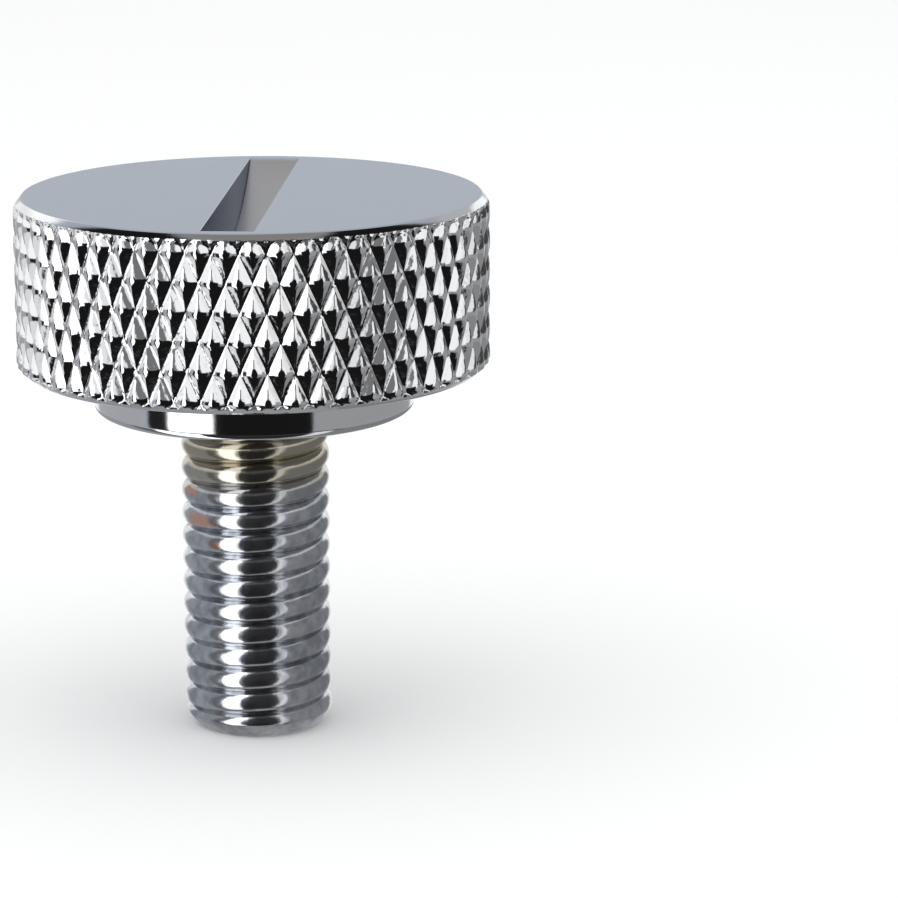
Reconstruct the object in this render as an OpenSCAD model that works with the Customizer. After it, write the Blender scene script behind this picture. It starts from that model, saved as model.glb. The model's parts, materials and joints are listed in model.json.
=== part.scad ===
// Seat mounting knob: a knurled chrome thumb screw with a coin slot, turned from one bar.
// Millimetres. The knob stands on the end of its shank, +Z runs up the axis to the head,
// and the coin slot runs along Y.

/* [Head] */
// Diameter of the head over the tips of the knurl
head_diameter = 25.1; // [20:0.1:40]
// Height of the head above its collar
head_height = 9.2; // [6:0.1:16]
// Chamfer round the top face
top_chamfer = 0.3; // [0.1:0.05:0.7]
// Chamfer round the underside
bottom_chamfer = 0.25; // [0.1:0.05:0.4]

/* [Knurl] */
// Diamonds counted once round the head
knurl_count = 56; // [30:1:90]
// Spaces between the rows of tips up the side of the head
knurl_rows = 5; // [3:1:9]
// Height of the lowest row of tips above the underside
knurl_start = 0.55; // [0.45:0.05:2]
// Distance of the highest row of tips below the top face
knurl_end = 1; // [0.8:0.05:2]
// Depth of the grooves below the tips
knurl_depth = 0.32; // [0.2:0.02:0.6]
// How far the rolled tips stand out from the plain edges of the head
knurl_rise = 0.15; // [0.05:0.05:0.2]
// Share of a diamond's width that its blunt tip takes
tip_share = 0.22; // [0.05:0.01:0.5]

/* [Coin slot] */
// Width of the slot
slot_width = 2.7; // [1.5:0.1:5]
// Depth of the slot at its middle
slot_depth = 3; // [1:0.1:5]
// Rim left between the ends of the slot and the edge of the top face
slot_rim = 0.75; // [0.4:0.05:3]

/* [Collar] */
// Diameter of the collar under the head
collar_diameter = 17; // [12:0.1:19]
// Height of the collar
collar_height = 2.3; // [1:0.1:5]
// Bevel round the lower edge of the collar
collar_bevel = 0.4; // [0.1:0.05:0.8]

/* [Shank] */
// Outer diameter of the thread, here of an M8 screw
thread_diameter = 7.9; // [5:0.1:11]
// Length of the shank below the collar
shank_length = 17.4; // [8:0.1:40]
// Diameter of the flat end that the knob stands on
tip_diameter = 6.4; // [4:0.1:7.5]
// Height of the chamfer at the end of the shank
tip_chamfer = 0.9; // [0.3:0.05:2]

/* [Hidden] */
$fn = 96;

// Levels along the axis, from the end of the shank
seat_level = shank_length;
under_level = seat_level + collar_height;
top_level = under_level + head_height;

// Radii of the head: its blunt tips, the bottoms of the grooves, the plain edges and the top face
crest_radius = head_diameter / 2;
root_radius = crest_radius - knurl_depth;
edge_radius = crest_radius - knurl_rise;
face_radius = edge_radius - top_chamfer;

// The knurl is a net of columns and rows whose crossings are tips and groove bottoms by turns.
// The tips of the net are sharp, and turning the head to its diameter blunts them.
columns = 2 * knurl_count;
sharp_radius = root_radius + knurl_depth / (1 - tip_share);
row_height = (head_height - knurl_start - knurl_end) / knurl_rows;

// The slot is the cut of a round disc cutter
slot_reach = face_radius - slot_rim;
cutter_radius = (slot_reach * slot_reach + slot_depth * slot_depth) / (2 * slot_depth);

// A point by column of the net, radius and level
function on_net(column, radius, level) =
    let (angle = column * 360 / columns)
    [radius * cos(angle), radius * sin(angle), level];

// Tips and groove bottoms alternate along every row and up every column
function is_tip(column, row) = (column + row) % 2 == 1;

// One row of the knurl, and one plain ring of the net
function knurl_row(row) =
    let (level = under_level + knurl_start + row * row_height)
    [for (c = [0 : columns - 1]) on_net(c, is_tip(c, row) ? sharp_radius : root_radius, level)];
function plain_ring(radius, level) =
    [for (c = [0 : columns - 1]) on_net(c, radius, level)];

// Two triangles of a net cell, split along its lower-left to upper-right diagonal if rising
function cell(low_left, low_right, high_left, high_right, rising) =
    rising
    ? [[low_left, high_left, high_right], [low_left, high_right, low_right]]
    : [[low_left, high_left, low_right], [low_right, high_left, high_right]];

// The sharp knurl as one closed surface, ring on ring from the underside to the top face.
// The first two rings and the last two are the chamfers.
module knurl_net() {
    rings = concat(
        [plain_ring(edge_radius - bottom_chamfer, under_level)],
        [plain_ring(edge_radius, under_level + bottom_chamfer)],
        [for (row = [0 : knurl_rows]) knurl_row(row)],
        [plain_ring(edge_radius, top_level - top_chamfer)],
        [plain_ring(face_radius, top_level)]);
    last = len(rings) - 1;
    first_row = 2;
    number = function (ring, c) ring * columns + c % columns;
    // Grooves run along the split of a cell, and below the first row each tip keeps its whole foot
    rising = function (ring, c) ring < first_row ? is_tip(c + 1, 0) : !is_tip(c, ring - first_row);
    under_face = [for (c = [0 : columns - 1]) number(0, c)];
    top_face = [for (c = [0 : columns - 1]) number(last, columns - 1 - c)];
    side_faces = [
        for (ring = [0 : last - 1])
            for (c = [0 : columns - 1])
                each cell(
                    number(ring, c), number(ring, c + 1),
                    number(ring + 1, c), number(ring + 1, c + 1),
                    rising(ring, c))];
    polyhedron([for (ring = rings) each ring], concat([under_face, top_face], side_faces));
}

// The head, with the tips of its knurl turned down to one diameter
module knurled_head() {
    intersection() {
        knurl_net();
        translate([0, 0, under_level])
            cylinder(r = crest_radius, h = head_height);
    }
}

// Slot for a coin or a wide driver, cut by a disc that comes down on the top face
module coin_slot() {
    translate([0, 0, top_level - slot_depth + cutter_radius])
        rotate([0, 90, 0])
            cylinder(r = cutter_radius, h = slot_width, center = true);
}

// Collar and shank, turned to one profile that runs up into the head
module collar_and_shank() {
    into_head = head_height / 4;
    rotate_extrude()
        polygon([
            [0, 0],
            [tip_diameter / 2, 0],
            [thread_diameter / 2, tip_chamfer],
            [thread_diameter / 2, seat_level],
            [collar_diameter / 2 - collar_bevel, seat_level],
            [collar_diameter / 2, seat_level + collar_bevel],
            [collar_diameter / 2, under_level + into_head],
            [0, under_level + into_head]]);
}

// The whole knob, one piece of chromed steel
module seat_knob() {
    color("silver")
        union() {
            difference() {
                knurled_head();
                coin_slot();
            }
            collar_and_shank();
        }
}

seat_knob();
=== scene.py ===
"""Seat mounting knob: a chromed thumb screw with a diamond knurl, a coin slot and an M8 thread."""

import json
import math

import bpy
import numpy as np
from mathutils import Matrix, Vector


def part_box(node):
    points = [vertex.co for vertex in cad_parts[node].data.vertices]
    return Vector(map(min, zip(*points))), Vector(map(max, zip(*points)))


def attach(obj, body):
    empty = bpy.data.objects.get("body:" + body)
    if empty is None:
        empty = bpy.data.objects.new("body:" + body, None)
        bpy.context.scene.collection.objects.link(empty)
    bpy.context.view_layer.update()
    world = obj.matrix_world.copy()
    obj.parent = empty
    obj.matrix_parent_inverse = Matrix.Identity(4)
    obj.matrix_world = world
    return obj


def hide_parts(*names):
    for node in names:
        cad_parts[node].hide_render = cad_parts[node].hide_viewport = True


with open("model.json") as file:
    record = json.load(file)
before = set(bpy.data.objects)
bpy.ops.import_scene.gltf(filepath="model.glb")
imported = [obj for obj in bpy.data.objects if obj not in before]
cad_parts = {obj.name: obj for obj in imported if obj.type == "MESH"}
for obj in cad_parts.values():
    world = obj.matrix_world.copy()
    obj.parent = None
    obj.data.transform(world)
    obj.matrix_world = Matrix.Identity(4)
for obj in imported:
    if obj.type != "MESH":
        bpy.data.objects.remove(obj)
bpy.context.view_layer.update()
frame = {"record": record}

# Sizes of the knob in millimetres, from the frame where it gives them
MM = 0.001
KNOB_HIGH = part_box("seat_knob")[1]
MOUNTS = {mount["name"]: mount for mount in frame["record"]["mounts"]}
CREST_RADIUS = KNOB_HIGH.x / MM
TOP_LEVEL = KNOB_HIGH.z / MM
SEAT_LEVEL = MOUNTS["collar_seat"]["pos_m"][2] / MM
THREAD_RADIUS = MOUNTS["threaded_shank"]["dims"]["r_mm"]

# The head, with a chamfer at both ends and a finely rounded rim to its top face
HEAD_HEIGHT = 9.2
UNDER_LEVEL = TOP_LEVEL - HEAD_HEIGHT
TOP_CHAMFER = 0.3
BOTTOM_CHAMFER = 0.25
RIM_ROUND = 0.05

# The knurl: tips in rows, grooves between them, and plain edges that they fade into
KNURL_COUNT = 56  # diamonds once round
KNURL_ROWS = 5  # spaces between the rows of tips
KNURL_START = 0.55  # lowest tips above the underside
KNURL_END = 1.0  # highest tips below the top face
KNURL_DEPTH = 0.32
KNURL_RISE = 0.15  # tips beyond the plain edges
TIP_SHARE = 0.22  # of a diamond's width, taken by its blunt tip
FACET_CROWN = 0.43
GROOVE_FILL = 0.04  # of the depth
CORNER_BLEND = 0.06  # of the depth
GROOVE_WANDER = 0.02  # of a diamond's width
WANDER_SEED = 7
END_FADE = 0.4  # of the way from a plain edge to the nearest tips
KNURL_ROOT = CREST_RADIUS - KNURL_DEPTH
EDGE_RADIUS = CREST_RADIUS - KNURL_RISE
FACE_RADIUS = EDGE_RADIUS - TOP_CHAMFER
KNURL_LOW = UNDER_LEVEL + BOTTOM_CHAMFER
KNURL_HIGH = TOP_LEVEL - TOP_CHAMFER
FIRST_TIPS = UNDER_LEVEL + KNURL_START
LAST_TIPS = TOP_LEVEL - KNURL_END
ROW_HEIGHT = (LAST_TIPS - FIRST_TIPS) / KNURL_ROWS

# The coin slot, with the arc floor that a disc cutter leaves
SLOT_HALF_WIDTH = 1.35
SLOT_DEPTH = 3.0  # at the middle
SLOT_RIM = 0.75  # between its ends and the edge of the top face
SLOT_EDGE = 0.06  # rounding of its long edges
SLOT_REACH = FACE_RADIUS - SLOT_RIM
CUTTER_RADIUS = (SLOT_REACH ** 2 + SLOT_DEPTH ** 2) / (2 * SLOT_DEPTH)

# The collar, with a rounded bevel below and a small slanting fill in the corner above
COLLAR_RADIUS = 8.5
COLLAR_BEVEL = 0.4
COLLAR_FILL = 0.03

# The thread of the shank, and the rounded tip that cuts it off
THREAD_PITCH = 1.25
THREAD_CREST = 0.7  # radius of the rounded crests
THREAD_FLANK = math.radians(62)  # slope of the flanks against the axis
THREAD_START = math.radians(302)
RUN_OUT = 0.5
TIP_RADIUS = 3.2
TIP_CHAMFER = 0.9
TIP_CURVE = 0.75  # power of the tip's profile, which would be a plain chamfer at 1

# Steps of the surface: the knurl has a fixed number of steps to half a diamond each way
STEPS = 8
LOW_STEPS = 3  # from the lower plain edge to the first tips
HIGH_STEPS = 5  # from the last tips to the upper plain edge
KNURL_COLUMNS = 2 * KNURL_COUNT * STEPS
SHANK_COLUMNS = KNURL_COLUMNS // 8
FACE_COLUMNS = KNURL_COLUMNS // 4
THREAD_STEPS = 16  # rows to a pitch
ROOT_CROWDING = 0.6  # 0 spaces the thread's rows evenly, and towards 1 they crowd at the roots
BEVEL_STEPS = 6
SLOT_EDGE_STEPS = 4
SLOT_END_STEPS = 4  # columns across half of an end of the slot
WELD_DIGITS = 5  # decimal places of a millimetre to which points that fall together agree
SHARP_ANGLE = math.radians(50)  # edges that turn more than this are shaded sharp

# Rings near the corners keep the shading of the plain faces beside them even
CORNER_GUARD = 0.1  # beside the corners of the seat and the collar
FOOT_RINGS = (0, 0.5, 0.97, 1)  # shares of the tip's radius
COLLAR_WALL_START = 0.6  # above the seat
COLLAR_WALL_END = 0.08  # below the underside
COLLAR_WALL_RINGS = 5
UNDER_RING = 1.0  # in from the radius of the top face
UNDER_EDGE_RINGS = (0.12, 0.02)  # in from the lower chamfer
LOW_CHAMFER_RINGS = (0.1, 0.85)  # shares of the chamfer
TOP_CHAMFER_RINGS = (0.15, 0.8)  # shares of the chamfer
RIM_BEND = 0.2  # share of the rim's rounding that its middle ring is set in by
LAST_FINE_RING = 0.2  # in from the edge of the top face
FIRST_COARSE_RING = 0.45  # in from the edge of the top face
FACE_RINGS = (0.0, 0.35, 0.7)  # shares of the way in to the slot
SLOT_GUARD = 0.04  # share of the way out from the slot
WALL_ROWS = (0.5, 0.97, 1.0)  # shares of the way down to the slot's floor
FLOOR_ROWS = (0.75, 0.5, 0.25, 0.0)  # shares of the way out from the slot's middle line
TINY = 1e-6


class Shell:
    """Collects the grids of points and the triangles of one closed surface."""

    def __init__(self):
        self.points = []
        self.triangles = []
        self.count = 0

    def add(self, grid):
        """Stores a grid of points (rows, columns, 3) and returns their numbers as (rows, columns)."""
        rows, columns, _ = grid.shape
        numbers = self.count + np.arange(rows * columns).reshape(rows, columns)
        self.points.append(grid.reshape(-1, 3))
        self.count += rows * columns
        return numbers

    def skin(self, numbers, closed=True, rising=None):
        """Two triangles to a cell, split along its lower-left to upper-right diagonal where rising is
        true. A closed grid goes round from its last column to its first."""
        right = np.roll(numbers, -1, axis=1)
        left = numbers
        if not closed:
            left, right = numbers[:, :-1], numbers[:, 1:]
        low_left, low_right = left[:-1], right[:-1]
        high_left, high_right = left[1:], right[1:]
        if rising is None:
            rising = np.ones(low_left.shape, dtype=bool)
        first = np.stack([low_left, low_right, np.where(rising, high_right, high_left)], axis=-1)
        second = np.stack([np.where(rising, low_left, low_right), high_right, high_left], axis=-1)
        self.triangles += [first.reshape(-1, 3), second.reshape(-1, 3)]

    def lace(self, low, high):
        """Joins two rings of which one has several times the points of the other: each coarse edge
        takes one triangle, and the fine edges beside it fan out from its two ends."""
        fine, coarse = (low, high) if len(low) > len(high) else (high, low)
        ratio = len(fine) // len(coarse)
        half = ratio // 2
        start = np.arange(len(coarse))
        next_coarse = np.roll(coarse, -1)
        for step in range(ratio):
            edge = [fine[start * ratio + step], fine[(start * ratio + step + 1) % len(fine)]]
            corner = coarse if step < half else next_coarse
            order = [edge[0], edge[1], corner] if fine is low else [corner, edge[1], edge[0]]
            self.triangles.append(np.stack(order, axis=-1))
        middle = fine[start * ratio + half]
        order = [middle, next_coarse, coarse] if fine is low else [coarse, next_coarse, middle]
        self.triangles.append(np.stack(order, axis=-1))

    def piece(self, name, material):
        """Welds points that fall together, drops the triangles that this closes up, and makes the mesh
        in metres."""
        points = np.concatenate(self.points)
        triangles = np.concatenate(self.triangles)
        # Adding zero makes every -0.0 a plain 0.0, so that both weld
        places = np.round(points, WELD_DIGITS) + 0.0
        _, first, weld = np.unique(places, axis=0, return_index=True, return_inverse=True)
        triangles = weld.reshape(-1)[triangles]
        a, b, c = triangles.T
        triangles = triangles[(a != b) & (b != c) & (c != a)]
        mesh = bpy.data.meshes.new(name)
        mesh.from_pydata(points[first] * MM, [], triangles)
        mesh.materials.append(material)
        mesh.shade_smooth()
        mesh.set_sharp_from_angle(angle=SHARP_ANGLE)
        made = bpy.data.objects.new(name, mesh)
        bpy.context.collection.objects.link(made)
        return made


def turns(columns):
    """Angles of the columns of a ring, once round from the X axis."""
    return np.arange(columns) * (2 * math.pi / columns)


def revolve(radius, level, angle):
    """Points of a turned surface for each row and column: the radius times the cosine and the sine of
    the angle, at the level."""
    radius, level, angle = np.broadcast_arrays(radius, level, angle)
    return np.stack([radius * np.cos(angle), radius * np.sin(angle), level], axis=-1)


def profile_rows(profile, columns):
    """Carries a profile of (radius, level) points round the axis."""
    radius, level = np.array(profile, dtype=float).T
    return revolve(radius[:, None], level[:, None], turns(columns)[None, :])


def smooth_step(share):
    """0 up to 0, 1 from 1 on, and between them three times the square less twice the cube."""
    share = np.clip(share, 0, 1)
    return share * share * (3 - 2 * share)


def soft_limit(value, low, high, blend):
    """Keeps a value between two limits and rounds the corners where they start. For each limit it takes
    the mean of value and limit, and adds or takes off half the root of their difference squared plus
    the blend squared."""
    raised = 0.5 * (value + low + np.sqrt((value - low) ** 2 + blend ** 2))
    return 0.5 * (raised + high - np.sqrt((raised - high) ** 2 + blend ** 2))


def strip_height(place, wander):
    """Height across the strips of one hand, which is twice the distance to the nearer groove: 0 in the
    grooves and 1 half way between two of them. The grooves run where place is whole, each moved by its
    own wander."""
    number = np.floor(place).astype(int)
    share = place - number
    before = np.abs(share - wander[number % KNURL_COUNT])
    after = np.abs(1 + wander[(number + 1) % KNURL_COUNT] - share)
    return 2 * np.minimum(before, after)


def facet_rise(height):
    """Rise of a facet from its groove, a little crowned: the height, and the crown times the height
    times what the height lacks of 1. So it is steeper at the groove than at the tip."""
    return height * (1 + FACET_CROWN * (1 - height))


def knurl_radius(angle, level):
    """Radius of the knurl. With a counted in diamonds round and b in diamonds up, one set of grooves
    runs where a + b is whole and the other where a - b is whole, and a point is as high as the lower of
    its two strips. A soft limit blunts the tips and fills the groove bottoms, and at both ends the knurl
    fades to a plain edge."""
    around = angle * KNURL_COUNT / (2 * math.pi)
    up = (level - FIRST_TIPS) / (2 * ROW_HEIGHT)
    draws = np.random.default_rng(WANDER_SEED)
    wander = draws.uniform(-GROOVE_WANDER, GROOVE_WANDER, (2, KNURL_COUNT))
    height = np.minimum(strip_height(around + up, wander[0]), strip_height(around - up, wander[1]))
    blunt = facet_rise(height) / facet_rise(1 - TIP_SHARE)
    radius = CREST_RADIUS - KNURL_DEPTH * (1 - soft_limit(blunt, GROOVE_FILL, 1, CORNER_BLEND))
    from_low = (level - KNURL_LOW) / (FIRST_TIPS - KNURL_LOW)
    from_high = (KNURL_HIGH - level) / (KNURL_HIGH - LAST_TIPS)
    fade = smooth_step(np.minimum(from_low, from_high) / END_FADE)
    return EDGE_RADIUS + (radius - EDGE_RADIUS) * fade


def thread_radius(along, level):
    """Radius of the thread at a distance along the axis from its crest: an arc over the rounded crest,
    then straight flanks down to a sharp root. It runs out just under the collar, and the rounded tip
    cuts it off."""
    along = np.abs(along)
    on_arc = np.minimum(along, THREAD_CREST * math.sin(THREAD_FLANK))
    depth = THREAD_CREST - np.sqrt(THREAD_CREST ** 2 - on_arc ** 2)
    depth = depth + (along - on_arc) * math.tan(THREAD_FLANK)
    depth = depth * smooth_step((SEAT_LEVEL - level) / RUN_OUT)
    tip_share = np.clip(level / TIP_CHAMFER, 0, 1) ** TIP_CURVE
    tip = TIP_RADIUS + (THREAD_RADIUS - TIP_RADIUS) * tip_share
    return np.minimum(THREAD_RADIUS - depth, tip)


def thread_grid():
    """Rows that climb with the right-hand thread, one pitch a turn. A sine sets them closer near the
    roots than on the crests. Rows below the tip and above the seat are pressed flat on those levels."""
    angle = np.linspace(0, 2 * math.pi, SHANK_COLUMNS + 1)[None, :]
    first_turn = -2
    last_turn = math.ceil(SEAT_LEVEL / THREAD_PITCH + 0.5)
    row = np.arange(first_turn * THREAD_STEPS, last_turn * THREAD_STEPS + 1)[:, None]
    share = row % THREAD_STEPS / THREAD_STEPS
    across = share - ROOT_CROWDING * np.sin(2 * math.pi * share) / (2 * math.pi)
    along = (across - 0.5) * THREAD_PITCH
    climb = (row // THREAD_STEPS + (angle + THREAD_START) / (2 * math.pi)) * THREAD_PITCH
    level = np.clip(along + climb, 0, SEAT_LEVEL)
    along = level - climb
    along = (along + THREAD_PITCH / 2) % THREAD_PITCH - THREAD_PITCH / 2
    return revolve(thread_radius(along, level), level, angle % (2 * math.pi))


def slot_floor(along):
    """Level of the slot's floor, the arc that a disc cutter leaves: the level of the cutter's centre
    less the root of its radius squared less the distance along the slot squared."""
    return TOP_LEVEL + CUTTER_RADIUS - SLOT_DEPTH - np.sqrt(CUTTER_RADIUS ** 2 - along ** 2)


def shank_and_collar(shell):
    """Foot, thread, seat face, collar with its quarter-round bevel, and the inner part of the head's
    underside. Returns the last ring."""
    foot = [(share * TIP_RADIUS, 0) for share in FOOT_RINGS]
    shell.skin(shell.add(profile_rows(foot, SHANK_COLUMNS)))
    shell.skin(shell.add(thread_grid()), closed=False)
    seat_radius = COLLAR_RADIUS - COLLAR_BEVEL
    seat = [THREAD_RADIUS, THREAD_RADIUS + CORNER_GUARD, seat_radius - CORNER_GUARD]
    bend = np.linspace(0, math.pi / 2, BEVEL_STEPS + 1)
    bevel_radius = seat_radius + COLLAR_BEVEL * np.sin(bend)
    bevel_level = SEAT_LEVEL + COLLAR_BEVEL * (1 - np.cos(bend))
    wall = np.linspace(SEAT_LEVEL + COLLAR_WALL_START, UNDER_LEVEL - COLLAR_WALL_END, COLLAR_WALL_RINGS)
    collar = profile_rows(
        [(radius, SEAT_LEVEL) for radius in seat]
        + list(zip(bevel_radius, bevel_level))
        + [(COLLAR_RADIUS, level) for level in wall]
        + [(COLLAR_RADIUS, UNDER_LEVEL - COLLAR_FILL), (COLLAR_RADIUS + COLLAR_FILL, UNDER_LEVEL)]
        + [(COLLAR_RADIUS + CORNER_GUARD, UNDER_LEVEL), (FACE_RADIUS - UNDER_RING, UNDER_LEVEL)],
        SHANK_COLUMNS)
    numbers = shell.add(collar)
    shell.skin(numbers)
    return numbers[-1]


def knurled_side(shell):
    """Edge of the underside, both chamfers and the knurl between them. Returns the first ring and the
    last."""
    angle = turns(KNURL_COLUMNS)[None, :]
    low_radius = EDGE_RADIUS - BOTTOM_CHAMFER
    low_chamfer = [share * BOTTOM_CHAMFER for share in LOW_CHAMFER_RINGS]
    below = profile_rows(
        [(low_radius - inset, UNDER_LEVEL) for inset in UNDER_EDGE_RINGS]
        + [(low_radius + rise, UNDER_LEVEL + rise) for rise in low_chamfer],
        KNURL_COLUMNS)
    level = np.concatenate([
        np.linspace(KNURL_LOW, FIRST_TIPS, LOW_STEPS, endpoint=False),
        np.linspace(FIRST_TIPS, LAST_TIPS, KNURL_ROWS * STEPS, endpoint=False),
        np.linspace(LAST_TIPS, KNURL_HIGH, HIGH_STEPS + 1)])[:, None]
    knurl = revolve(knurl_radius(angle, level), level, angle)
    top_chamfer = [share * TOP_CHAMFER for share in TOP_CHAMFER_RINGS]
    rim_bend = RIM_BEND * RIM_ROUND
    above = profile_rows(
        [(EDGE_RADIUS - rise, KNURL_HIGH + rise) for rise in top_chamfer]
        + [(FACE_RADIUS - rim_bend, TOP_LEVEL - rim_bend), (FACE_RADIUS - RIM_ROUND, TOP_LEVEL)]
        + [(FACE_RADIUS - LAST_FINE_RING, TOP_LEVEL)],
        KNURL_COLUMNS)
    grid = np.concatenate([below, knurl, above])
    numbers = shell.add(grid)
    # Each quarter of a diamond has a groove along one diagonal, and its cells are split the same way
    cell = np.arange(len(grid) - 1)[:, None] - (len(below) + LOW_STEPS)
    column = np.arange(KNURL_COLUMNS)[None, :]
    rising = (cell // STEPS + column // STEPS) % 2 == 0
    shell.skin(numbers, rising=rising)
    return numbers[0], numbers[-1]


def top_face(shell):
    """Top face from a plain ring in to the outline of the slot, then the slot's edges, walls and floor.
    The outline is a rectangle whose corners fall on columns. Each long side of it goes on as a grid of
    its own: a quarter-round edge, the wall down to the floor, and the floor in to the middle line.
    Returns the plain ring."""
    end = SLOT_END_STEPS
    side = FACE_COLUMNS // 4 - end
    column = np.arange(FACE_COLUMNS)
    corner_columns = [-side, side, side + 2 * end, 3 * side + 2 * end, 3 * side + 4 * end]
    turned = (column + side) % FACE_COLUMNS - side
    across = np.interp(turned, corner_columns, np.array([1, 1, -1, -1, 1]) * SLOT_HALF_WIDTH)
    along = np.interp(turned, corner_columns, np.array([-1, 1, 1, -1, -1]) * SLOT_REACH)
    floor = slot_floor(along)
    on_side = np.abs(across) >= SLOT_HALF_WIDTH - TINY
    edge = np.where(on_side, np.minimum(SLOT_EDGE, 0.5 * (TOP_LEVEL - floor)), 0)
    outward = np.sign(across) * edge
    flat = np.full(FACE_COLUMNS, TOP_LEVEL)
    outline = np.stack([across + outward, along, flat], axis=-1)
    ring = profile_rows([(FACE_RADIUS - FIRST_COARSE_RING, TOP_LEVEL)], FACE_COLUMNS)[0]
    guard = outline + (ring - outline) * SLOT_GUARD
    share = np.array(FACE_RINGS)[:, None, None]
    rings = np.concatenate([ring + share * (guard - ring), guard[None], outline[None]])
    numbers = shell.add(rings)
    shell.skin(numbers)

    bend = np.linspace(0, math.pi / 2, SLOT_EDGE_STEPS + 1)[1:, None]
    edge_rows = np.stack(np.broadcast_arrays(
        across + outward * (1 - np.sin(bend)), along, TOP_LEVEL - edge * (1 - np.cos(bend))), axis=-1)
    drop = np.array(WALL_ROWS)[:, None]
    wall_rows = np.stack(np.broadcast_arrays(
        across, along, (TOP_LEVEL - edge) + drop * (floor - TOP_LEVEL + edge)), axis=-1)
    inward = np.array(FLOOR_ROWS)[:, None]
    floor_rows = np.stack(np.broadcast_arrays(across * inward, along, floor), axis=-1)
    inner = np.concatenate([outline[None], edge_rows, wall_rows, floor_rows])
    for first in (-side, side + 2 * end):
        columns = np.arange(first, first + 2 * side + 1) % FACE_COLUMNS
        shell.skin(shell.add(inner[:, columns]), closed=False)
    return numbers[0]


class Socket:
    """A socket of a node tree. Sums on it are written as Python expressions and add Math nodes."""

    def __init__(self, tree, socket=None):
        self.tree = tree
        self.socket = socket

    def make(self, kind, settings=None, inputs=None, output=0):
        """Adds a node of that type, makes its settings, then sets or links its input sockets."""
        node = self.tree.nodes.new(kind)
        for name, value in (settings or {}).items():
            setattr(node, name, value)
        for name, value in (inputs or {}).items():
            if isinstance(value, Socket):
                self.tree.links.new(value.socket, node.inputs[name])
            else:
                node.inputs[name].default_value = value
        return Socket(self.tree, node.outputs[output] if node.outputs else None)

    def math(self, operation, *values):
        """Adds a Math node on the values."""
        return self.make("ShaderNodeMath", {"operation": operation}, dict(enumerate(values)))

    def __add__(self, other):
        return self.math("ADD", self, other)

    def __radd__(self, other):
        return self.math("ADD", other, self)

    def __sub__(self, other):
        return self.math("SUBTRACT", self, other)

    def __rsub__(self, other):
        return self.math("SUBTRACT", other, self)

    def __mul__(self, other):
        return self.math("MULTIPLY", self, other)

    def __rmul__(self, other):
        return self.math("MULTIPLY", other, self)

    def ramp(self, low, high):
        """0 below low and 1 above high, smooth between; with low over high it falls instead."""
        return self.make("ShaderNodeMapRange", {"interpolation_type": "SMOOTHSTEP"},
                         {"Value": self, "From Min": low, "From Max": high})

    def under(self, limit, start, full):
        """A ramp beside a limit: 0 where the value lies start under it, 1 where it lies full under it."""
        return self.ramp(limit - start, limit - full)

    def mix(self, first, second):
        """A colour from first to second by this value."""
        return self.make("ShaderNodeMix", {"data_type": "RGBA"}, {0: self, 6: first, 7: second}, 2)

    def split(self):
        """The three parts of a vector."""
        return [self.make("ShaderNodeSeparateXYZ", None, {0: self}, axis) for axis in range(3)]

    def noise(self, scale, detail):
        """Soft noise over this vector."""
        return self.make("ShaderNodeTexNoise", None, {"Vector": self, "Scale": scale, "Detail": detail})


def new_material(name):
    """An empty node material, and a socket to make its nodes with."""
    material = bpy.data.materials.new(name)
    material.use_nodes = True
    material.node_tree.nodes.clear()
    return material, Socket(material.node_tree)


def object_place(start):
    """The Object coordinates of a piece, in metres."""
    return start.make("ShaderNodeTexCoord", output="Object")


def finish_with(start, shader):
    """Leads a shader to the material's output."""
    start.make("ShaderNodeOutputMaterial", None, {"Surface": shader})


# Colours of the chrome: the plate, the slot's floor, the painted shade on the slot's walls, the thread's
# thin plate and its bare spots
PLATE_DARK = (0.60, 0.605, 0.615, 1)
PLATE_PALE = (0.64, 0.645, 0.65, 1)
MILLED_FLOOR = (0.60, 0.56, 0.52, 1)
# Painted shade on the slot's walls: along their middle, and deeper at the slot's ends
WALL_PAINTED_SHADE = (0.22, 0.26, 0.36, 1)
WALL_ENDS_PAINTED_SHADE = (0.14, 0.17, 0.235, 1)
THREAD_DARK = (0.37, 0.39, 0.42, 1)
THREAD_PALE = (0.61, 0.62, 0.64, 1)
YELLOW_NICKEL = (0.42, 0.39, 0.31, 1)
BARE_COPPER = (0.72, 0.43, 0.34, 1)

# Where the painted shade on the slot's walls starts to darken along it and is darkest, and the noise
# values between which the thread's tints change
PAINTED_WALL_SHADE_SPAN = (3.0, 9.0)
MOTTLE_NOISE = (0.35, 0.65)
YELLOW_NOISE = (0.2, 0.45)

# Copper spots: the place and reach of each in millimetres, how flat they are, how ragged the coarse and
# the fine noise make them, and the share of the reach that is all copper
COPPER_SPOTS = (((-3.3, -2.1, 13.3), 0.8), ((-2.7, -2.85, 11.8), 1.4), ((-1.7, -3.5, 10.6), 0.7))
COPPER_STRETCH = (1, 1, 3.5)
COPPER_DENTS = 1.4
COPPER_GRAIN = 1.8
COPPER_CORE = 0.6

# Roughness of the bright plate, and what the grain and each duller place add to it
PLATE_ROUGHNESS = 0.06
GRAIN_ROUGHNESS = 0.04
TOP_ROUGHNESS = 0.1
SLOT_ROUGHNESS = 0.25
THREAD_ROUGHNESS = 0.09

# Bump: its height in millimetres, its strength, and the weights of the dents by place and of the grain
BUMP_HEIGHT = 0.02
BUMP_STRENGTH = 0.5
PLATE_DENTS = 0.15
KNURL_DENTS = 2.8
THREAD_DENTS = 1.3
GRAIN_WEIGHT = 0.06


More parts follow.
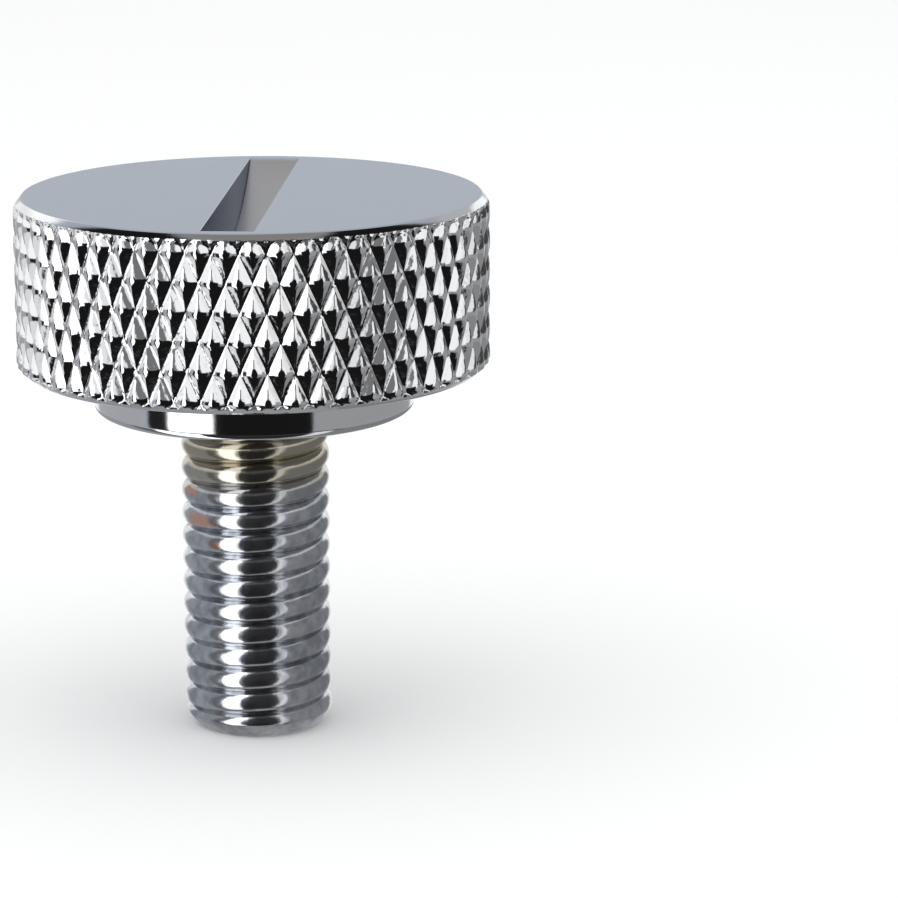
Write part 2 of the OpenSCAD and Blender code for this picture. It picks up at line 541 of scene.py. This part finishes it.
def copper_mask(start, millimetres, dents, grain):
    """1 on the bare copper spots and 0 elsewhere: a ramp on the ragged distance to each spot."""
    vector_maths = "ShaderNodeVectorMath"
    ragged = COPPER_DENTS * dents + COPPER_GRAIN * grain - (COPPER_DENTS + COPPER_GRAIN) / 2
    coppered = 0.0
    for spot, reach in COPPER_SPOTS:
        away = start.make(vector_maths, {"operation": "SUBTRACT"}, {0: millimetres, 1: spot})
        flat = start.make(vector_maths, {"operation": "MULTIPLY"}, {0: away, 1: COPPER_STRETCH})
        distance = start.make(vector_maths, {"operation": "LENGTH"}, {0: flat}, "Value")
        coppered = coppered + (distance + ragged).ramp(reach, COPPER_CORE * reach)
    return start.math("MINIMUM", coppered, 1.0)


def chrome_finish():
    """Chrome plate: bright on the knurl and collar, satin on the faced top, dull in the milled slot, whose
    walls carry painted shade that deepens towards the slot's ends, and thin on the thread, where the
    yellow nickel and some copper show through under the collar."""
    material, start = new_material("chrome_plate")
    millimetres = start.make(
        "ShaderNodeVectorMath", {"operation": "SCALE"}, {0: object_place(start), "Scale": 1 / MM})
    x, y, z = millimetres.split()
    off_axis = start.math("SQRT", x * x + y * y)
    off_middle = start.math("ABSOLUTE", x)
    along_slot = start.math("ABSOLUTE", y)

    cloud = millimetres.noise(scale=0.35, detail=3.0)
    dents = millimetres.noise(scale=1.7, detail=2.0)
    grain = millimetres.noise(scale=9.0, detail=2.0)

    on_top = z.under(TOP_LEVEL, start=0.02, full=0.005)
    in_slot = z.under(TOP_LEVEL, start=0.02, full=0.12)
    in_slot = in_slot * off_axis.under(FACE_RADIUS, start=0.2, full=0.4)
    in_slot = in_slot * z.under(TOP_LEVEL - SLOT_DEPTH, start=0.5, full=0.2)
    # Painted shade: this mask darkens the slot's walls and a thin line of the floor beside each wall
    wall_painted_shade = off_middle.under(SLOT_HALF_WIDTH, start=0.08, full=0.02)
    on_knurl = off_axis.under(KNURL_ROOT, start=0.1, full=0.05)
    on_knurl = on_knurl * z.under(TOP_LEVEL, start=0.35, full=0.45)
    on_thread = off_axis.under(THREAD_RADIUS, start=-1.25, full=-0.25)
    on_thread = on_thread * z.under(SEAT_LEVEL, start=-0.1, full=0)
    yellowed = on_thread * z.under(SEAT_LEVEL, start=5.0, full=2.2)
    coppered = on_thread * copper_mask(start, millimetres, dents, grain)

    plate = cloud.mix(PLATE_DARK, PLATE_PALE)
    # Painted shade on the slot's walls, darker towards the slot's ends, laid over the floor's milled
    # colour
    wall = along_slot.ramp(*PAINTED_WALL_SHADE_SPAN).mix(WALL_PAINTED_SHADE, WALL_ENDS_PAINTED_SHADE)
    slot = wall_painted_shade.mix(MILLED_FLOOR, wall)
    mottle = (0.5 * cloud + 0.5 * dents).ramp(*MOTTLE_NOISE)
    thread = mottle.mix(THREAD_DARK, THREAD_PALE)
    thread = (yellowed * cloud.ramp(*YELLOW_NOISE)).mix(thread, YELLOW_NICKEL)
    thread = coppered.mix(thread, BARE_COPPER)
    colour = on_thread.mix(in_slot.mix(plate, slot), thread)

    duller = TOP_ROUGHNESS * on_top + SLOT_ROUGHNESS * in_slot + THREAD_ROUGHNESS * on_thread
    roughness = PLATE_ROUGHNESS + GRAIN_ROUGHNESS * grain + duller
    dented = dents * (PLATE_DENTS + KNURL_DENTS * on_knurl + THREAD_DENTS * on_thread)
    bump = start.make("ShaderNodeBump", None, {
        "Strength": BUMP_STRENGTH, "Distance": BUMP_HEIGHT * MM, "Height": dented + GRAIN_WEIGHT * grain})
    shader = start.make("ShaderNodeBsdfPrincipled", None, {
        "Base Color": colour, "Metallic": 1.0, "Roughness": roughness, "Normal": bump})
    finish_with(start, shader)
    return material


# The floor: how far it reaches in millimetres, its two whites and its roughness
FLOOR_REACH = 1500
FLOOR_DARK = (0.90, 0.90, 0.90, 1)
FLOOR_PALE = (0.93, 0.93, 0.93, 1)
FLOOR_ROUGHNESS = 0.9


def floor_finish():
    """Plain pale floor, with the faintest cloud in its white."""
    material, start = new_material("pale_floor")
    cloud = object_place(start).noise(scale=6.0, detail=2.0)
    shader = start.make("ShaderNodeBsdfPrincipled", None, {
        "Base Color": cloud.mix(FLOOR_DARK, FLOOR_PALE), "Roughness": FLOOR_ROUGHNESS,
        "Specular IOR Level": 0.0})
    finish_with(start, shader)
    return material


# The view: the camera looks at the middle of the seat face, then turns a little aside. Angles are in
# degrees, distances and the sensor in millimetres, and the focal length in pixels of the picture.
VIEW_AZIMUTH = 6.5
VIEW_ELEVATION = 12.725
VIEW_DISTANCE = 216.58
VIEW_TURN_RIGHT = 2.730
VIEW_TURN_UP = -0.643
VIEW_ROLL = 0.781
VIEW_FOCAL_PIXELS = 4062.3
IMAGE_PIXELS = 898
SENSOR_WIDTH = 36.0
CLIP_NEAR = 10
CLIP_FAR = 20000

# The studio dome that the chrome mirrors, and the panels on it, later ones over earlier ones. A panel has
# its azimuths from the camera's, its elevations, the softness of its edges, all in degrees, and its light.
HALF_TURN = 180
QUARTER_TURN = 90
DOME_RADIUS = 600
DOME_COLUMNS = 97
DOME_ROWS = 49
DOME_LIGHT = (0.536, 0.582, 0.654)
PANELS = (
    ("low_room", -180, 180, -90, -18, 5, (0.36, 0.36, 0.37)),
    ("low_back_left", -180, -130, -60, -20, 8, (0.44, 0.45, 0.46)),
    ("low_back_right", 130, 180, -60, -20, 8, (0.44, 0.45, 0.46)),
    ("left_wall", -170, -86, -18, 8, 4, (0.54, 0.55, 0.57)),
    ("left_back_low", -180, -150, -24, 1, 3, (1.1, 1.1, 1.1)),
    ("left_line", -160, -96, 12, 22, 3, (0.9, 0.9, 0.9)),
    ("left_back_band", -163, -102, -2, 21, 3, (1.15, 1.15, 1.15)),
    ("left_back_softbox", -168, -132, 20, 36, 4, (1.5, 1.5, 1.5)),
    ("right_wall", 42, 170, -18, 0, 4, (0.44, 0.45, 0.46)),
    ("right_shelf", 60, 150, 11, 40, 4, (0.42, 0.42, 0.43)),
    ("right_line", 66, 150, 13, 22, 3, (1.5, 1.5, 1.5)),
    ("right_dark", 78, 118, -3, 11, 3, (0.08, 0.08, 0.08)),
    ("right_dusk", 118, 150, -3, 12, 3, (0.2, 0.2, 0.2)),
    ("right_back_softbox", 126, 160, 20, 40, 4, (0.62, 0.63, 0.66)),
    ("right_back_low", 150, 180, -24, 1, 4, (1.1, 1.1, 1.1)),
    ("right_back_band", 148, 163, 1, 20, 3, (1.3, 1.3, 1.3)),
    ("front_low", -31, 42, -30, 3, 2, (0.012, 0.012, 0.012)),
    ("front_left_band", -27, -7, 3, 22, 3, (1.2, 1.2, 1.2)),
    ("front_band", -7, 20, 3, 22, 3, (0.26, 0.26, 0.26)),
    ("front_right_band", 20, 44, 3, 24, 3, (1.4, 1.4, 1.4)),
    ("front_high", -27, 44, 23, 70, 5, (0.15, 0.15, 0.15)),
    ("left_side_softbox", -104, -62, 2, 26, 3, (1.45, 1.45, 1.47)),
    ("left_flag", -82, -64, -22, 0, 2, (0.02, 0.02, 0.02)),
    ("left_high_flag", -122, -58, 36, 72, 4, (0.012, 0.012, 0.012)),
    ("right_high_flag", 60, 122, 36, 72, 4, (0.012, 0.012, 0.012)),
    ("left_softbox", -64, -30, -20, 40, 2.5, (2.6, 2.6, 2.65)),
    ("left_high_softbox", -58, -25, 3, 62, 2.5, (2.6, 2.6, 2.65)),
    ("right_side_band", 62, 80, 1, 13, 2, (1.2, 1.2, 1.2)),
    ("right_softbox", 44, 64, -8, 32, 2, (1.4, 1.4, 1.4)),
    ("front_table", -64, 68, -62, -22, 4, (0.012, 0.012, 0.012)),
    ("front_deep_table", -64, 40, -62, -40, 4, (0.05, 0.05, 0.05)),
    ("left_low_wall", -116, -66, -40, -22, 4, (1.1, 1.1, 1.11)),
    ("overhead", -180, 180, 72, 90, 4, (0.33, 0.315, 0.30)),
    ("nadir", -180, 180, -90, -62, 5, (0.42, 0.42, 0.42)))

# A small round tent of cards about the shank, with a sloping roof up to the collar, that lights the thread
# in stripes. Its rows are (radius, level) in millimetres, and it reaches round to an azimuth either side.
TENT_ROWS = ((11.5, -10.0), (11.5, 16.0), (8.7, 17.0))
TENT_REACH = 125
TENT_COLUMNS = 97
TENT_LIGHT = (0.40, 0.42, 0.455)
TENT_PANELS = (
    ("roof", -125, 125, -6.6, 90, 0.3, (0.8, 0.81, 0.83)),
    ("front_roof", -30, 36, -6.6, 90, 0.3, (0.1, 0.1, 0.1)),
    ("dark_strip", -68, -50, -90, -6.6, 3, (0.18, 0.18, 0.19)),
    ("white_strip", -50, -25, -90, 90, 2, (2.8, 2.8, 2.9)),
    ("black_strip", -25, 28, -90, -6.6, 2, (0.03, 0.03, 0.03)),
    ("right_white_strip", 27, 38, -90, 90, 3, (1.05, 1.05, 1.08)),
    ("right_strip", 38, 126, -90, -6.6, 2, (0.29, 0.295, 0.31)))

# The light of the room, and the lamps: azimuth from the camera's, elevation in degrees, power in watts
ROOM_LIGHT = (0.95, 0.955, 0.96, 1)
LAMP_DISTANCE = 500
LAMP_SIZE = 500
LAMPS = (("key", -50, 60, 0.5), ("fill", 60, 60, 0.3))


def between(value, low, high, edge, reach):
    """1 between two limits and 0 outside them, with soft edges; a limit at the value's reach has none."""
    inside = 1.0
    if low > -reach:
        inside = inside * value.ramp(low - edge, low + edge)
    if high < reach:
        inside = inside * value.ramp(high + edge, high - edge)
    return inside


def panel_finish(name, own_light, panels):
    """Light by direction from the middle: a surface's own light, and each panel laid over what is there.
    Only the inner side gives light, and the outer side is clear."""
    material, start = new_material(name)
    x, y, z = object_place(start).split()
    azimuth = start.math("ARCTAN2", x, -1 * y) * math.degrees(1)
    elevation = start.math("ARCTAN2", z, start.math("SQRT", x * x + y * y)) * math.degrees(1)
    light = (*own_light, 1)
    for _, left, right, low, high, edge, panel in panels:
        sideways = between(azimuth, left, right, edge, HALF_TURN)
        upright = between(elevation, low, high, edge, QUARTER_TURN)
        light = (sideways * upright).mix(light, (*panel, 1))
    lit = start.make("ShaderNodeEmission", None, {"Color": light, "Strength": 1.0})
    clear = start.make("ShaderNodeBsdfTransparent")
    inner_side = start.make("ShaderNodeNewGeometry", output="Backfacing")
    finish_with(start, start.make("ShaderNodeMixShader", None, {0: inner_side, 1: clear, 2: lit}))
    return material


def towards(azimuth, elevation, distance):
    """A place in metres as seen from the middle of the seat face, at an azimuth and an elevation in
    degrees and a distance in millimetres. Azimuth 0 is the -Y side and 90 is +X."""
    a, e = math.radians(azimuth), math.radians(elevation)
    step = Vector((math.sin(a) * math.cos(e), -math.cos(a) * math.cos(e), math.sin(e)))
    return Vector((0, 0, SEAT_LEVEL * MM)) + step * distance * MM


def add_camera():
    """Camera at the photograph's viewing angle."""
    data = bpy.data.cameras.new("camera")
    data.sensor_width = SENSOR_WIDTH
    data.lens = SENSOR_WIDTH * VIEW_FOCAL_PIXELS / IMAGE_PIXELS
    data.clip_start = CLIP_NEAR * MM
    data.clip_end = CLIP_FAR * MM
    camera = bpy.data.objects.new("camera", data)
    bpy.context.collection.objects.link(camera)
    aim = towards(0, 0, 0)
    stand = towards(VIEW_AZIMUTH, VIEW_ELEVATION, VIEW_DISTANCE)
    look = (aim - stand).to_track_quat("-Z", "Y").to_matrix().to_4x4()
    turn = Matrix.Rotation(math.radians(-VIEW_TURN_RIGHT), 4, "Y")
    tilt = Matrix.Rotation(math.radians(VIEW_TURN_UP), 4, "X")
    roll = Matrix.Rotation(math.radians(-VIEW_ROLL), 4, "Z")
    camera.matrix_world = Matrix.Translation(stand) @ look @ turn @ tilt @ roll
    bpy.context.scene.camera = camera


def stage_piece(name, points, faces, material):
    """A floor or backdrop, which is no part of the knob."""
    mesh = bpy.data.meshes.new(name)
    mesh.from_pydata(points, [], faces)
    mesh.materials.append(material)
    made = bpy.data.objects.new(name, mesh)
    bpy.context.collection.objects.link(made)
    return made


def add_floor():
    """Floor that the knob stands on; the chrome mirrors the dome and not the floor."""
    reach = FLOOR_REACH * MM
    corners = [(-reach, -reach, 0), (reach, -reach, 0), (reach, reach, 0), (-reach, reach, 0)]
    floor = stage_piece("floor", corners, [(0, 1, 2, 3)], floor_finish())
    floor.visible_glossy = False


def add_mirrored(name, across, radius, level, material):
    """A round surface about the seat face's middle, turned to the camera, that only reflections see. It
    takes azimuths in degrees for its columns, and radii and levels in millimetres for its rows."""
    angle = np.radians(across)[None, :]
    radius, level, angle = np.broadcast_arrays(radius[:, None], level[:, None], angle)
    points = np.stack([radius * np.sin(angle), -radius * np.cos(angle), level], axis=-1) * MM
    rows, columns, _ = points.shape
    corner = (np.arange(rows - 1)[:, None] * columns + np.arange(columns - 1)[None, :]).reshape(-1)
    faces = np.stack([corner, corner + 1, corner + columns + 1, corner + columns], axis=-1)
    made = stage_piece(name, points.reshape(-1, 3), faces.tolist(), material)
    made.location = towards(0, 0, 0)
    made.rotation_euler = (0, 0, math.radians(VIEW_AZIMUTH))
    made.visible_camera = False
    made.visible_diffuse = False
    made.visible_transmission = False
    made.visible_shadow = False


def add_dome():
    """Dome round the whole knob, and the tent about its shank."""
    around = np.linspace(-HALF_TURN, HALF_TURN, DOME_COLUMNS)
    up = np.linspace(-math.pi / 2, math.pi / 2, DOME_ROWS)
    dome = panel_finish("studio_dome", DOME_LIGHT, PANELS)
    add_mirrored("dome", around, DOME_RADIUS * np.cos(up), DOME_RADIUS * np.sin(up), dome)
    across = np.linspace(-TENT_REACH, TENT_REACH, TENT_COLUMNS)
    radius, level = np.array(TENT_ROWS).T
    tent = panel_finish("shank_tent", TENT_LIGHT, TENT_PANELS)
    add_mirrored("tent", across, radius, level - SEAT_LEVEL, tent)


def add_light():
    """The pale room that lights the floor, and two soft lamps."""
    world = bpy.data.worlds.new("pale_room")
    world.use_nodes = True
    room = Socket(world.node_tree)
    world.node_tree.nodes.clear()
    light = room.make("ShaderNodeBackground", None, {"Color": ROOM_LIGHT, "Strength": 1.0})
    room.make("ShaderNodeOutputWorld", None, {"Surface": light})
    bpy.context.scene.world = world

    for name, azimuth, elevation, power in LAMPS:
        data = bpy.data.lights.new(name, "AREA")
        data.size = LAMP_SIZE * MM
        data.energy = power
        lamp = bpy.data.objects.new(name, data)
        lamp.location = towards(azimuth + VIEW_AZIMUTH, elevation, LAMP_DISTANCE)
        aim = towards(0, 0, 0) - lamp.location
        lamp.rotation_euler = aim.to_track_quat("-Z", "Y").to_euler()
        lamp.visible_glossy = False
        bpy.context.collection.objects.link(lamp)


def build_knob():
    """The whole knob as one closed surface in place of the plain solid."""
    shell = Shell()
    collar_ring = shank_and_collar(shell)
    knurl_first, knurl_last = knurled_side(shell)
    face_ring = top_face(shell)
    shell.lace(collar_ring, knurl_first)
    shell.lace(knurl_last, face_ring)
    knob = shell.piece("seat_knob_chromed", chrome_finish())
    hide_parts("seat_knob")
    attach(knob, "root")


bpy.context.scene.view_settings.view_transform = "Standard"
add_camera()
build_knob()
add_floor()
add_dome()
add_light()
